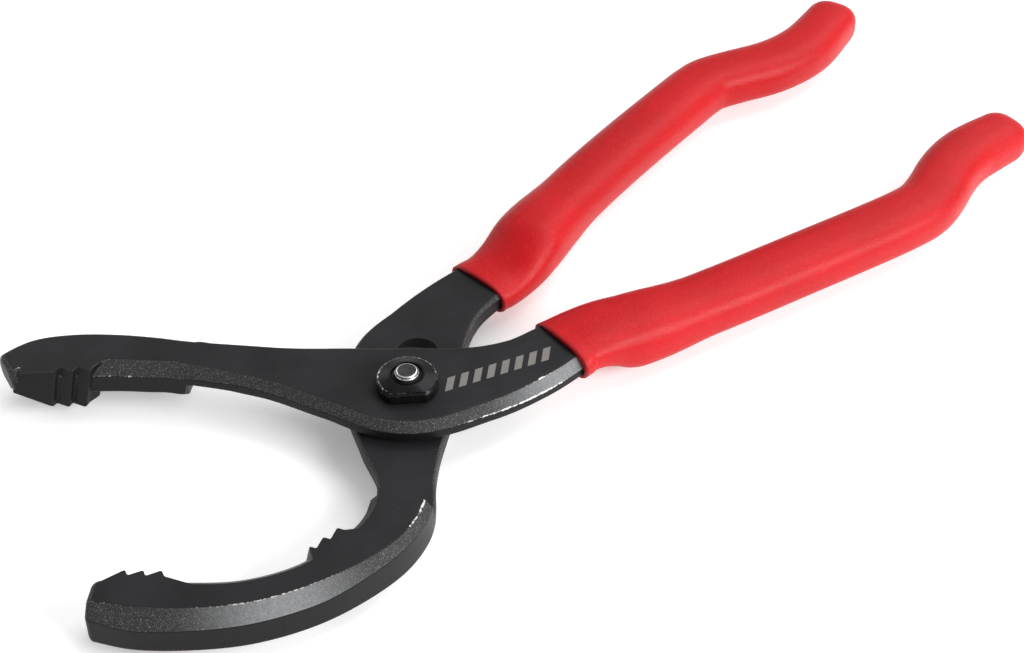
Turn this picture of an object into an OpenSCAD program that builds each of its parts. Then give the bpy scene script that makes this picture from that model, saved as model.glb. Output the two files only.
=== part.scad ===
// Slip-joint oil filter pliers: two half-lapped levers, a sliding pivot bolt
// and two dipped hand grips. Millimetres, +Z up.
// The origin is on the pivot axis, at the level of the bolt head's underside.
// The handles run along +X, the jaws reach out to -X.

/* [Levers] */
// Thickness of one lever where the two levers cross
plate_thickness = 5.6; // [4.5:0.1:8]
// How far the jaws reach from the pivot
jaw_reach = 100; // [70:1:130]
// Distance from the pivot to the end of the upper handle
handle_reach = 201; // [160:1:260]
// How much farther the lower handle reaches than the upper one
handle_offset = 10.6; // [0:0.2:12]
// Half width of the levers around the pivot
boss_half_width = 14.5; // [13:0.5:17]
// Width of the sloped forged edge along the top of the jaws
jaw_bevel = 3.2; // [1.5:0.1:3.8]
// Width of the sloped edge along the flat middle of the levers
plate_bevel = 2.3; // [1:0.1:2.8]
// Width of the sloped edge on the underside
under_bevel = 1.3; // [0.6:0.1:1.8]

/* [Teeth] */
// Distance between two teeth
tooth_pitch = 4.2; // [3:0.1:5.5]
// Depth of the tooth gaps
tooth_depth = 1.7; // [1:0.1:2.4]
// Number of teeth in each group
teeth_per_group = 3; // [2:1:4]
// Slant of the teeth across the thickness of the jaw
tooth_lean = 12; // [0:1:18]
// Draft of the tooth pads, which stand out more at the underside
tooth_draft = 6; // [0:1:8]

/* [Slip joint] */
// Shank diameter of the pivot bolt
bolt_diameter = 10.2; // [8:0.1:11]
// Distance between the two flats on the bolt shank
bolt_flats = 6.8; // [5:0.1:8]
// Distance between neighbouring pivot positions
lobe_pitch = 9.3; // [7:0.5:10]
// Direction of the slot, measured from +X
slot_angle = 41.5; // [30:0.5:55]

/* [Fasteners] */
// Diameter of the round nut
nut_diameter = 15.6; // [13:0.1:20]
// Distance from the nut's axis to its single flat
nut_flat_reach = 6.4; // [5.5:0.1:9]
// Height of the nut at its rim
nut_height = 3.2; // [2.5:0.1:6]
// How much the nut's face rises from the rim towards the stud
nut_crown = 1; // [0:0.1:1.6]
// Diameter of the threaded stud end
stud_diameter = 6; // [4:0.5:8]
// How far the stud stands above the nut's rim
stud_rise = 2.1; // [1.7:0.1:4]
// Height of the bolt head
head_height = 3.2; // [2:0.1:5]
// Diameter of the bolt head
head_diameter = 17; // [14:0.5:22]
// Thickness of the thrust washer
washer_thickness = 1; // [0.5:0.1:2]
// Diameter of the thrust washer
washer_diameter = 20; // [16:0.5:25]

/* [Grips] */
// Width of a grip along the straight run
grip_width = 17.6; // [15:0.2:22]
// Thickness of a grip, top to bottom
grip_thickness = 12.8; // [10.5:0.2:16]
// Wall of the dipped vinyl
grip_wall = 1.6; // [1:0.1:2.2]

/* [Hidden] */
// Clearances: levers and slot, bolt flats, vinyl on steel, nut on stud
running_gap = 0.1;
key_gap = 0.05;
dip_gap = 0.03;
thread_gap = 0.05;
// Tooth pads: how deep they sink into the jaw and where their slopes end
pad_depth = 5;
pad_drop = 2.3;
// Height of a sloped edge for each millimetre of its width
bevel_fall = 0.9;
// Sloped lower edge inside the jaws, and slope of the tip
inner_under_bevel = 3.6;
tip_bevel = 1.6;
// How far the underside of the upper jaw rises towards its tip
tip_lift = 3.4;
// Bolt head, stud and nut: broken edges, and the sunk ring round the stud
head_chamfer = 0.8;
thread_chamfer = 0.5;
nut_chamfer = 0.6;
recess_depth = 0.8;
recess_rim = 0.3;
recess_radius = stud_diameter / 2 + 1.2;
// Direction along the nut's flat
nut_turn = slot_angle - 80;
// Extra vinyl where the shank changes level
dip_build_up = 0.7;

// Levels, from the bench upwards
washer_bottom = head_height;
lower_bottom = washer_bottom + washer_thickness + running_gap;
lap_low = lower_bottom + plate_thickness;
lap_high = lap_low + running_gap;
upper_top = lap_high + plate_thickness;
nut_top = upper_top + nut_height;
stud_top = nut_top + stud_rise;
mid_level = (lap_low + lap_high) / 2;
tang_thickness = grip_thickness - 2 * grip_wall;

// The jaw lines below are drawn for a jaw reach of 100 and stretched to size.
jaw_scale = jaw_reach / 100;
// Length of the slope from the full thickness of a jaw down to one plate
upper_shoulder_draft = 2.8 * jaw_scale;
lower_shoulder_draft = 0.5 * jaw_scale;
// Where the vinyl begins, along X
grip_start_upper = 38.5;
grip_start_lower = 44;
tang_half = grip_width / 2 - grip_wall;
curve_steps = 4;
grip_sides = 24;
corner_power = 2.9;

// Jaw centre lines, from the tip to the shoulder beside the other lever:
// [x, y, half width, bevel share towards +Y, bevel share towards -Y]
upper_jaw_line = [
    [-65.6, 74.8, 5.8, 0.8, 0.8],
    [-58.6, 72.9, 7.1, 0.8, 0.8],
    [-51.4, 67.8, 7.6, 0.8, 1],
    [-44.2, 61.2, 7.35, 0.8, 1],
    [-37.8, 54.1, 7.0, 0.8, 1],
    [-32.8, 47.9, 6.7, 0.8, 1]
];
lower_jaw_line = [
    [-93.8, -2.2, 5.4, 0.6, 1],
    [-87.9, -9.0, 6.7, 0.6, 1.25],
    [-80.1, -17.3, 6.3, 0.6, 1.3],
    [-70, -25.2, 5.9, 0.6, 1.3],
    [-57.8, -30.5, 5.8, 0.6, 1.15],
    [-45.4, -32.2, 6.2, 0.6, 0.85],
    [-34, -31.2, 6.8, 0.6, 0.65],
    [-25, -26.6, 7.4, 0.6, 0.6]
];
// Necks behind the jaws, which move with the jaw reach
upper_neck_line = [
    [-24.4, 36.0, 6.7, 0.5, 1],
    [-18, 26.6, 7.9, 0.4, 1]
];
lower_neck_line = [
    [-17, -18.6, 7.1, 0.25, 0.25]
];
// Centre lines around the pivot, up to the start of the grips
upper_boss_line = [
    [-10, 14.4, boss_half_width - 3.4, 0.35, 1],
    [0, 0, boss_half_width, 0.3, 1],
    [14.4, -9.2, boss_half_width - 2.8, 0.3, 1],
    [27, -13.6, 9.7, 0.35, 1.1],
    [grip_start_upper, -14.8, 8.8, 0.4, 1.1]
];
lower_boss_line = [
    [-9.2, -8.2, boss_half_width - 4, 0.25, 0.25],
    [1.2, 3.8, boss_half_width, 0.3, 0.3],
    [11.8, 13.0, boss_half_width - 0.2, 0.3, 0.3],
    [23.2, 18.0, 11.1, 0.3, 0.3],
    [33.4, 20.8, 9.2, 0.35, 0.35],
    [grip_start_lower, 21.8, 8.3, 0.5, 0.5]
];
// Handle centre lines from the start of the grip to the end of the steel:
// [share of the handle, sideways place, width share]
upper_handle_line = [
    [0.03, -15.2, 1.12],
    [0.085, -17.0, 1.06],
    [0.13, -19.6, 1.02],
    [0.20, -23.2, 1],
    [0.31, -27.6, 1],
    [0.445, -32.4, 1],
    [0.58, -37.2, 1],
    [0.665, -39.8, 0.99],
    [0.71, -40.2, 0.98],
    [0.755, -38.6, 0.98],
    [0.80, -36.1, 0.98],
    [0.84, -34.5, 0.97],
    [0.88, -33.9, 0.96],
    [0.915, -34.3, 0.94],
    [0.96, -35.2, 0.88]
];
lower_handle_line = [
    [0.03, 21.6, 1.12],
    [0.08, 22.4, 1.06],
    [0.12, 24.0, 1.02],
    [0.18, 26.8, 1],
    [0.31, 31.8, 1],
    [0.445, 35.8, 1],
    [0.58, 39.2, 1],
    [0.625, 40.2, 0.99],
    [0.66, 40.2, 0.98],
    [0.71, 37.6, 0.98],
    [0.76, 34.4, 0.98],
    [0.80, 32.8, 0.97],
    [0.845, 32.2, 0.96],
    [0.89, 33.0, 0.94],
    [0.96, 36.0, 0.88]
];
// Share of the handle over which the shank leaves the plate level
jog_begin = 0.03;
jog_end = 0.13;

// A full entry of a centre line is [x, y, half width, top bevel towards +Y,
// top bevel towards -Y, lower bevel towards +Y, lower bevel towards -Y].
function jaw_places(list, under_left, under_right) = [
    for (p = list)
        [p[0] * jaw_scale, p[1] * jaw_scale, p[2], p[3] * jaw_bevel, p[4] * jaw_bevel, under_left, under_right]
];
function plate_places(list, scale) = [
    for (p = list)
        [p[0] * scale, p[1] * scale, p[2], p[3] * plate_bevel, p[4] * plate_bevel, under_bevel, under_bevel]
];
function handle_x(share, start, reach) = start + share * (reach - start);

// A smooth curve through the listed places
function curve_point(a, b, c, d, t) =
    0.5 * (2 * b + (c - a) * t + (2 * a - 5 * b + 4 * c - d) * t * t
    + (3 * b - a - 3 * c + d) * t * t * t);
function smooth_line(p, n) = [
    for (i = [0 : len(p) - 2])
        for (j = [0 : n - 1])
            curve_point(p[max(i - 1, 0)], p[i], p[i + 1], p[min(i + 2, len(p) - 1)], j / n),
    p[len(p) - 1]
];
function unit2(v) = [v[0], v[1]] / norm([v[0], v[1]]);
function heading(p, i) = unit2(p[min(i + 1, len(p) - 1)] - p[max(i - 1, 0)]);
function ease(t) = let (u = min(1, max(0, t))) u * u * (3 - 2 * u);

// Eight-cornered cross-section; the top edges slope wider than the lower ones
function plate_ring(p, dir, low, high, grow) =
    let (
        side = [-dir[1], dir[0]],
        half = p[2] + grow,
        left = min(p[3], half * 0.6),
        right = min(p[4], half * 0.6),
        most = (high - low) * 0.42,
        fall = [min(left * bevel_fall, most), min(right * bevel_fall, most)],
        flat = [
            [-half, low - grow + p[6] * bevel_fall],
            [-half, high + grow - fall[1]],
            [-half + right, high + grow],
            [half - left, high + grow],
            [half, high + grow - fall[0]],
            [half, low - grow + p[5] * bevel_fall],
            [half - p[5], low - grow],
            [-half + p[6], low - grow]
        ]
    )
    [for (q = flat) [p[0] + side[0] * q[0], p[1] + side[1] * q[0], q[1]]];

// Rounded cross-section of a grip
function grip_ring(c, dir, half, middle, rise) =
    let (side = [-dir[1], dir[0]])
    [for (k = [0 : grip_sides - 1])
        let (
            a = -180 + 360 * (k + 0.5) / grip_sides,
            e = 2 / corner_power,
            u = sign(cos(a)) * pow(abs(cos(a)), e) * half,
            w = -sign(sin(a)) * pow(abs(sin(a)), e) * rise
        )
        [c[0] + side[0] * u, c[1] + side[1] * u, middle + w]];

function flatten(list) = [for (a = list) for (b = a) b];
function wall_faces(rows, n, base) = [
    for (i = [0 : rows - 2])
        for (k = [0 : n - 1])
            let (
                a = base + i * n + k,
                b = base + i * n + (k + 1) % n,
                c = base + (i + 1) * n + (k + 1) % n,
                d = base + (i + 1) * n + k
            )
            each [[a, b, c], [a, c, d]]
];
function flip(faces) = [for (f = faces) [f[2], f[1], f[0]]];

module skin(rings) {
    rows = len(rings);
    n = len(rings[0]);
    polyhedron(
        points = flatten(rings),
        faces = concat(
            wall_faces(rows, n, 0),
            [for (k = [1 : n - 2]) [0, k + 1, k]],
            [for (k = [1 : n - 2]) [(rows - 1) * n, (rows - 1) * n + k, (rows - 1) * n + k + 1]]
        )
    );
}

// Full centre line of a lever: jaw, pivot area and the shank inside the grip
function handle_places(list, start, reach) = [
    for (p = list)
        [handle_x(p[0], start, reach), p[1], tang_half * p[2], plate_bevel, plate_bevel, under_bevel, under_bevel]
];
upper_reach = handle_reach;
lower_reach = handle_reach + handle_offset;
upper_handle = handle_places(upper_handle_line, grip_start_upper, upper_reach);
lower_handle = handle_places(lower_handle_line, grip_start_lower, lower_reach);
upper_line = smooth_line(concat(
    jaw_places(upper_jaw_line, under_bevel, inner_under_bevel),
    plate_places(upper_neck_line, jaw_scale),
    plate_places(upper_boss_line, 1),
    upper_handle
), curve_steps);
lower_line = smooth_line(concat(
    jaw_places(lower_jaw_line, inner_under_bevel, under_bevel),
    plate_places(lower_neck_line, jaw_scale),
    plate_places(lower_boss_line, 1),
    lower_handle
), curve_steps);
// Number of the cross-section that carries the shoulder of the jaw
shoulder_upper = (len(upper_jaw_line) - 1) * curve_steps;
shoulder_lower = (len(lower_jaw_line) - 1) * curve_steps;

function jog(x, start, reach) =
    ease((x - handle_x(jog_begin, start, reach)) / ((jog_end - jog_begin) * (reach - start)));
// Underside and top of each lever's steel at a place along X, away from the jaw
function upper_low(x) =
    lap_high + (mid_level - tang_thickness / 2 - lap_high) * jog(x, grip_start_upper, upper_reach);
function upper_high(x) =
    upper_top + (mid_level + tang_thickness / 2 - upper_top) * jog(x, grip_start_upper, upper_reach);
function lower_low(x) =
    lower_bottom + (mid_level - tang_thickness / 2 - lower_bottom) * jog(x, grip_start_lower, lower_reach);
function lower_high(x) =
    lap_low + (mid_level + tang_thickness / 2 - lap_low) * jog(x, grip_start_lower, lower_reach);

upper_lows = [for (p = upper_line) upper_low(p[0])];
upper_highs = [for (p = upper_line) upper_high(p[0])];
lower_lows = [for (p = lower_line) lower_low(p[0])];
lower_highs = [for (p = lower_line) lower_high(p[0])];

// Cross-sections of a lever: sloped tip, full-thickness jaw, shoulder, thin rest
function lever_rings(line, shoulder, draft, lift, low, high) = concat(
    [tip_ring(line, lift)],
    [for (i = [0 : shoulder])
        let (rise = lift * pow(max(0, 1 - i / (2 * curve_steps)), 2))
        plate_ring(line[i], heading(line, i), lower_bottom + rise, upper_top, 0)],
    [for (i = [shoulder : len(line) - 1])
        let (
            dir = heading(line, i),
            step = i == shoulder ? draft : 0,
            q = line[i],
            p = i == shoulder
                ? [q[0] + dir[0] * step, q[1] + dir[1] * step, q[2], q[3], q[4], under_bevel, under_bevel]
                : [q[0], q[1], q[2], q[3], q[4], min(q[5], under_bevel), min(q[6], under_bevel)]
        )
        plate_ring(p, dir, low[i], high[i], 0)]
);
function tip_ring(line, lift) =
    let (dir = heading(line, 0), p = line[0], w = tip_bevel)
    plate_ring([p[0] - dir[0] * w, p[1] - dir[1] * w, p[2] - w, p[3] * 0.6, p[4] * 0.6, p[5] * 0.6, p[6] * 0.6],
        dir, lower_bottom + lift + w * 0.8, upper_top - w * 0.8, 0);

// A row of saw-shaped teeth along +X, standing up to +Y when side is 1.
// The pad slopes back to the jaw over the lead before it and the tail after it.
module tooth_row(side, lead, tail) {
    last = teeth_per_group - 1;
    polygon(concat(
        [[-lead, -pad_depth * side], [-lead, -pad_drop * side], [-0.2, 0]],
        [for (k = [0 : last]) each concat(
            [[(k + 0.12) * tooth_pitch, tooth_depth * side]],
            k < last ? [[(k + 0.95) * tooth_pitch, 0]] : []
        )],
        [[last * tooth_pitch + tail, -pad_drop * side], [last * tooth_pitch + tail, -pad_depth * side]]
    ));
}

// A toothed pad that starts at a place and runs along the given direction
module tooth_pad(place, turn, side, lead, tail) {
    intersection() {
        translate([place[0], place[1], upper_top])
            rotate([0, 0, turn])
                rotate([tooth_draft * side, -tooth_lean, 0])
                    translate([0, 0, -3 * plate_thickness])
                        linear_extrude(height = 4 * plate_thickness)
                            tooth_row(side, lead, tail);
        translate([-2 * jaw_reach, -2 * jaw_reach, lower_bottom])
            cube([3 * jaw_reach, 4 * jaw_reach, upper_top - lower_bottom]);
    }
}

module double_flat(diameter, flats, height) {
    intersection() {
        cylinder(h = height, d = diameter, $fn = 96);
        translate([-diameter, -flats / 2, 0])
            cube([2 * diameter, flats, height]);
    }
}

module upper_lever() {
    color("dimgray") difference() {
        union() {
            skin(lever_rings(upper_line, shoulder_upper, upper_shoulder_draft, tip_lift, upper_lows, upper_highs));
            tooth_pad([-51.7, 59.0] * jaw_scale, 138, 1, 2.4, 7);
        }
        translate([0, 0, lap_high - 1])
            rotate([0, 0, slot_angle])
                double_flat(bolt_diameter + 2 * key_gap, bolt_flats + 2 * key_gap, plate_thickness + 2);
    }
}

module lower_lever() {
    color("dimgray") difference() {
        union() {
            skin(lever_rings(lower_line, shoulder_lower, lower_shoulder_draft, 0, lower_lows, lower_highs));
            tooth_pad([-79.7, -8.4] * jaw_scale, 135, -1, 7, 6);
            tooth_pad([-41.8, -25.6] * jaw_scale, 180, -1, 3.5, 2.6);
        }
        lobed_slot();
    }
}

// Three round pivot places joined by a narrower channel
module lobed_slot() {
    channel = bolt_flats + 2 * running_gap;
    translate([0, 0, lower_bottom - 1])
        rotate([0, 0, slot_angle]) {
            for (k = [0 : 2])
                translate([k * lobe_pitch, 0, 0])
                    cylinder(h = plate_thickness + 2, d = bolt_diameter + running_gap, $fn = 96);
            translate([0, -channel / 2, 0])
                cube([2 * lobe_pitch, channel, plate_thickness + 2]);
        }
}

function build_up(x, start, reach) =
    let (t = (x - start) / (2 * jog_end * (reach - start)))
    t > 0 && t < 1 ? pow(sin(180 * t), 2) : 0;

// Dipped sleeve: outside skin, rounded closed end, inside skin, open start
module dipped_grip(line, first, low, high, reach) {
    last = len(line) - 1;
    n = grip_sides;
    tip = line[last];
    along = heading(line, last);
    cap = (reach - tip[0]) / along[0];
    middle = (low[last] + high[last]) / 2;
    rise = (high[last] - low[last]) / 2 + grip_wall;
    outside = concat(
        [for (i = [first : last])
            let (extra = grip_wall * (1 + dip_build_up * build_up(line[i][0], line[first][0], reach)))
            grip_ring(line[i], heading(line, i), line[i][2] + extra,
                (low[i] + high[i]) / 2, (high[i] - low[i]) / 2 + extra)],
        [for (a = [18, 36, 52, 66, 78])
            let (k = sqrt(cos(a)))
            grip_ring([tip[0] + along[0] * cap * sin(a), tip[1] + along[1] * cap * sin(a)],
                along, (tip[2] + grip_wall) * k, middle, rise * k)]
    );
    inside = concat(
        [for (i = [first : last]) plate_ring(line[i], heading(line, i), low[i], high[i], dip_gap)],
        [plate_ring([tip[0] + along[0] * dip_gap, tip[1] + along[1] * dip_gap,
            tip[2], tip[3], tip[4], tip[5], tip[6]], along, low[last], high[last], dip_gap)]
    );
    rows_out = len(outside);
    rows_in = len(inside);
    m = len(inside[0]);
    base = rows_out * n;
    per = n / m;
    polyhedron(
        points = concat(flatten(outside), flatten(inside)),
        faces = concat(
            wall_faces(rows_out, n, 0),
            [for (k = [1 : n - 2]) [(rows_out - 1) * n, (rows_out - 1) * n + k, (rows_out - 1) * n + k + 1]],
            flip(wall_faces(rows_in, m, base)),
            flip([for (k = [1 : m - 2])
                [base + (rows_in - 1) * m, base + (rows_in - 1) * m + k, base + (rows_in - 1) * m + k + 1]]),
            [for (k = [0 : m - 1]) each concat(
                [for (j = [0 : per - 1])
                    [(k * per + j) % n, base + k, (k * per + j + 1) % n]],
                [[((k + 1) * per) % n, base + k, base + (k + 1) % m]]
            )]
        )
    );
}

grip_first_upper = (len(upper_jaw_line) + len(upper_neck_line) + len(upper_boss_line) - 1) * curve_steps;
grip_first_lower = (len(lower_jaw_line) + len(lower_neck_line) + len(lower_boss_line) - 1) * curve_steps;

module upper_grip() {
    color("crimson") dipped_grip(upper_line, grip_first_upper, upper_lows, upper_highs, upper_reach);
}

module lower_grip() {
    color("crimson") dipped_grip(lower_line, grip_first_lower, lower_lows, lower_highs, lower_reach);
}

module pivot_bolt() {
    stud_length = stud_top - upper_top;
    color("dimgray") union() {
        rotate_extrude($fn = 96)
            polygon([
                [0, 0],
                [head_diameter / 2 - head_chamfer, 0],
                [head_diameter / 2, head_chamfer],
                [head_diameter / 2, head_height],
                [0, head_height]
            ]);
        rotate([0, 0, slot_angle])
            translate([0, 0, head_height / 2])
                double_flat(bolt_diameter, bolt_flats, upper_top - head_height / 2);
        translate([0, 0, upper_top])
            rotate_extrude($fn = 96)
                polygon([
                    [0, 0],
                    [stud_diameter / 2, 0],
                    [stud_diameter / 2, stud_length - thread_chamfer],
                    [stud_diameter / 2 - thread_chamfer, stud_length],
                    [0, stud_length]
                ]);
    }
}

module pivot_nut() {
    color("black") difference() {
        intersection() {
            translate([0, 0, upper_top])
                rotate_extrude($fn = 96)
                    polygon([
                        [0, 0],
                        [nut_diameter / 2, 0],
                        [nut_diameter / 2, nut_height - nut_chamfer],
                        [nut_diameter / 2 - nut_chamfer, nut_height],
                        [recess_radius, nut_height + nut_crown],
                        [0, nut_height + nut_crown]
                    ]);
            rotate([0, 0, nut_turn])
                translate([-nut_diameter, -nut_flat_reach, upper_top])
                    cube([2 * nut_diameter, 2 * nut_diameter, nut_height + nut_crown]);
        }
        translate([0, 0, upper_top - 1])
            cylinder(h = nut_height + nut_crown + 2, d = stud_diameter + 2 * thread_gap, $fn = 96);
        translate([0, 0, nut_top + nut_crown - recess_depth])
            cylinder(h = nut_height, r = recess_radius - recess_rim, $fn = 96);
    }
}

module thrust_washer() {
    color("silver") translate([0, 0, washer_bottom])
        difference() {
            cylinder(h = washer_thickness, d = washer_diameter, $fn = 96);
            translate([0, 0, -1])
                cylinder(h = washer_thickness + 2, d = bolt_diameter + 2 * running_gap, $fn = 96);
        }
}

upper_lever();
lower_lever();
upper_grip();
lower_grip();
pivot_bolt();
pivot_nut();
thrust_washer();
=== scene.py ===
"""Oil filter pliers in forged black steel with dipped red grips.

Lengths in the shape functions are millimetres in the CAD frame; SCALE turns them into metres
when a mesh is made. A shape is a grid of rings: rings run along the lever, columns round it.
"""
import math

import bpy
import numpy as np
from mathutils import Matrix, Vector


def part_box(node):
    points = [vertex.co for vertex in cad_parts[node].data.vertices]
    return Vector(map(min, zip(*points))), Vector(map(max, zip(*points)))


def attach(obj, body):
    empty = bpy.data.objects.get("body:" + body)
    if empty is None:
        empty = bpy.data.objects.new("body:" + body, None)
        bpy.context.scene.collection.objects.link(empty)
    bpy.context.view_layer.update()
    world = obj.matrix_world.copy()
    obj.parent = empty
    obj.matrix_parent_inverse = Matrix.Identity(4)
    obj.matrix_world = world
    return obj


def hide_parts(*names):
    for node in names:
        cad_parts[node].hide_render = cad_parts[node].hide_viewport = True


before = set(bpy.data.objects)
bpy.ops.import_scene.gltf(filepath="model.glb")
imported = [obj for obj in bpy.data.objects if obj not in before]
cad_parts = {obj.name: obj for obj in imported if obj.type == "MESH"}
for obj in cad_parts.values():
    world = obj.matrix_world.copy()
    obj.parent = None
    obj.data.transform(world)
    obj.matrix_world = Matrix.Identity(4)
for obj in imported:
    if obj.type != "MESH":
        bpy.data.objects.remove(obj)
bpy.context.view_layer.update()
SCALE = 0.001


def level(piece, corner, axis=2):
    """One coordinate of a node's box, in millimetres."""
    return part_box(piece)[corner][axis] / SCALE


# Levels and sizes, from the frame
WASHER_LOW = level("thrust_washer", 0)
WASHER_HIGH = level("thrust_washer", 1)
LOWER_LOW = level("lower_lever", 0)
NUT_LOW = level("pivot_nut", 0)
NUT_HIGH = level("pivot_nut", 1)
STUD_HIGH = level("pivot_bolt", 1)
HEAD_RADIUS = level("pivot_bolt", 1, 0)
WASHER_RADIUS = level("thrust_washer", 1, 0)
UPPER_HIGH = NUT_LOW
DEPTH = UPPER_HIGH - LOWER_LOW
RUNNING_GAP = 0.1
PLATE = (DEPTH - RUNNING_GAP) / 2
LAP_LOW = LOWER_LOW + PLATE
LAP_HIGH = LAP_LOW + RUNNING_GAP
MID = (LAP_LOW + LAP_HIGH) / 2

# Sizes of the CAD model that its boxes don't give
UPPER_REACH = 201.0
LOWER_REACH = 211.6
GRIP_START_UPPER = 38.5
GRIP_START_LOWER = 44.0
GRIP_THICK = 12.8
GRIP_WALL = 1.6
TANG_THICK = GRIP_THICK - 2 * GRIP_WALL
TANG_HALF = 7.2
SLOT_ANGLE = 41.5
LOBE_PITCH = 9.3
BOLT_DIAMETER = 10.2
BOLT_FLATS = 6.8
BOLT_CLEARANCE = 0.1
STUD_DIAMETER = 6.0
NUT_DIAMETER = 15.6
NUT_FLAT_REACH = 6.4
NUT_RIM = NUT_LOW + 3.2

# Widths of the forged slopes, how far a slope falls for its width, and the shaping of the tips
JAW_BEVEL = 3.2
PLATE_BEVEL = 2.3
UNDER_BEVEL = 1.3
INNER_UNDER = 3.6
BEVEL_FALL = 0.9
TIP_BEVEL = 1.6
TIP_LIFT = 3.4
BOSS = 14.5

# Centre lines from jaw to handle: x, y, half width, and the share of the full top slope on the
# left and on the right of the way
UPPER_JAW = [
    (-65.6, 74.8, 5.8, 0.8, 0.8), (-58.6, 72.9, 7.1, 0.8, 0.8), (-51.4, 67.8, 7.6, 0.8, 1.0),
    (-44.2, 61.2, 7.35, 0.8, 1.0), (-37.8, 54.1, 7.0, 0.8, 1.0), (-32.8, 47.9, 6.7, 0.8, 1.0),
]
LOWER_JAW = [
    (-93.8, -2.2, 5.4, 0.6, 1.0), (-87.9, -9.0, 6.7, 0.6, 1.25), (-80.1, -17.3, 6.3, 0.6, 1.3),
    (-70.0, -25.2, 5.9, 0.6, 1.3), (-57.8, -30.5, 5.8, 0.6, 1.15), (-45.4, -32.2, 6.2, 0.6, 0.85),
    (-34.0, -31.2, 6.8, 0.6, 0.65), (-25.0, -26.6, 7.4, 0.6, 0.6),
]
UPPER_BOSS = [
    (-24.4, 36.0, 6.7, 0.5, 1.0), (-18.0, 26.6, 7.9, 0.4, 1.0), (-10.0, 14.4, BOSS - 3.4, 0.35, 1.0),
    (0.0, 0.0, BOSS, 0.3, 1.0), (14.4, -9.2, BOSS - 2.8, 0.3, 1.0), (27.0, -13.6, 9.7, 0.35, 1.1),
    (GRIP_START_UPPER, -14.8, 8.8, 0.4, 1.1),
]
LOWER_BOSS = [
    (-17.0, -18.6, 7.1, 0.25, 0.25), (-9.2, -8.2, BOSS - 4, 0.25, 0.25), (1.2, 3.8, BOSS, 0.3, 0.3),
    (11.8, 13.0, BOSS - 0.2, 0.3, 0.3), (23.2, 18.0, 11.1, 0.3, 0.3), (33.4, 20.8, 9.2, 0.35, 0.35),
    (GRIP_START_LOWER, 21.8, 8.3, 0.5, 0.5),
]
# Handles: share of the way along the handle, y, share of the full width
UPPER_HANDLE = [
    (0.03, -15.2, 1.12), (0.085, -17.0, 1.06), (0.13, -19.6, 1.02), (0.20, -23.2, 1.0),
    (0.31, -27.6, 1.0), (0.445, -32.4, 1.0), (0.58, -37.2, 1.0), (0.665, -39.8, 0.99),
    (0.71, -40.2, 0.98), (0.755, -38.6, 0.98), (0.80, -36.1, 0.98), (0.84, -34.5, 0.97),
    (0.88, -33.9, 0.96), (0.915, -34.3, 0.94), (0.96, -35.2, 0.88),
]
LOWER_HANDLE = [
    (0.03, 21.6, 1.12), (0.08, 22.4, 1.06), (0.12, 24.0, 1.02), (0.18, 26.8, 1.0),
    (0.31, 31.8, 1.0), (0.445, 35.8, 1.0), (0.58, 39.2, 1.0), (0.625, 40.2, 0.99),
    (0.66, 40.2, 0.98), (0.71, 37.6, 0.98), (0.76, 34.4, 0.98), (0.80, 32.8, 0.97),
    (0.845, 32.2, 0.96), (0.89, 33.0, 0.94), (0.96, 36.0, 0.88),
]
JOG_BEGIN = 0.03
JOG_END = 0.13
STEPS = 16
TINY = 1e-6


# -------------------- shape maths
def smooth_line(points, steps):
    """A Catmull-Rom curve: each span is the cubic through two places with the slope of their
    neighbours, sampled at equal shares of the span."""
    p = np.array(points, float)
    spans = len(p) - 1
    i = np.repeat(np.arange(spans), steps)
    t = np.tile(np.arange(steps) / steps, spans)[:, None]
    a, b = p[np.maximum(i - 1, 0)], p[i]
    c, d = p[i + 1], p[np.minimum(i + 2, spans)]
    curve = 0.5 * (2 * b + (c - a) * t + (2 * a - 5 * b + 4 * c - d) * t**2
                   + (3 * b - a - 3 * c + d) * t**3)
    return np.vstack([curve, p[-1]])


def directions(line):
    """Unit vectors along a plan curve, from the difference of the two neighbours."""
    step = np.gradient(line[:, :2], axis=0)
    return step / np.linalg.norm(step, axis=1)[:, None]


def ease(x):
    """The smooth step 3x^2 - 2x^3, held at 0 and 1 outside the span."""
    u = np.clip(x, 0, 1)
    return u * u * (3 - 2 * u)


def towards(corners, others, radius, limit):
    """The step from each corner towards another place: the radius long, and at most the limit's
    share of the distance."""
    way = others - corners
    length = np.linalg.norm(way, axis=-1, keepdims=True)
    return way / np.maximum(length, TINY) * np.minimum(radius, length * limit)


def quadratic(start, control, end, steps):
    """The curve (1-t)^2 start + 2t(1-t) control + t^2 end, as points on a new axis."""
    t = np.linspace(0, 1, steps)[:, None]
    a, b, c = (p[..., None, :] for p in (start, control, end))
    return (1 - t) ** 2 * a + 2 * t * (1 - t) * b + t**2 * c


def lever_line(jaw, boss, handle, start, reach, under):
    """The whole centre line with columns x, y, half width, two top slopes and two lower slopes,
    all in millimetres, made smooth."""
    plain_under = (UNDER_BEVEL, UNDER_BEVEL)
    rows = [(x, y, w, a * JAW_BEVEL, b * JAW_BEVEL, *under) for x, y, w, a, b in jaw]
    rows += [(x, y, w, a * PLATE_BEVEL, b * PLATE_BEVEL, *plain_under) for x, y, w, a, b in boss]
    rows += [(start + s * (reach - start), y, TANG_HALF * w, PLATE_BEVEL, PLATE_BEVEL, *plain_under)
             for s, y, w in handle]
    return smooth_line(rows, STEPS)


def jogged(x, start, reach, plate_level, tang_level):
    """A level that leaves the plate for the tang in the middle of the tool, by the smooth step."""
    share = (x - start) / (reach - start)
    jog = ease((share - JOG_BEGIN) / (JOG_END - JOG_BEGIN))
    return plate_level + (tang_level - plate_level) * jog


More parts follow.
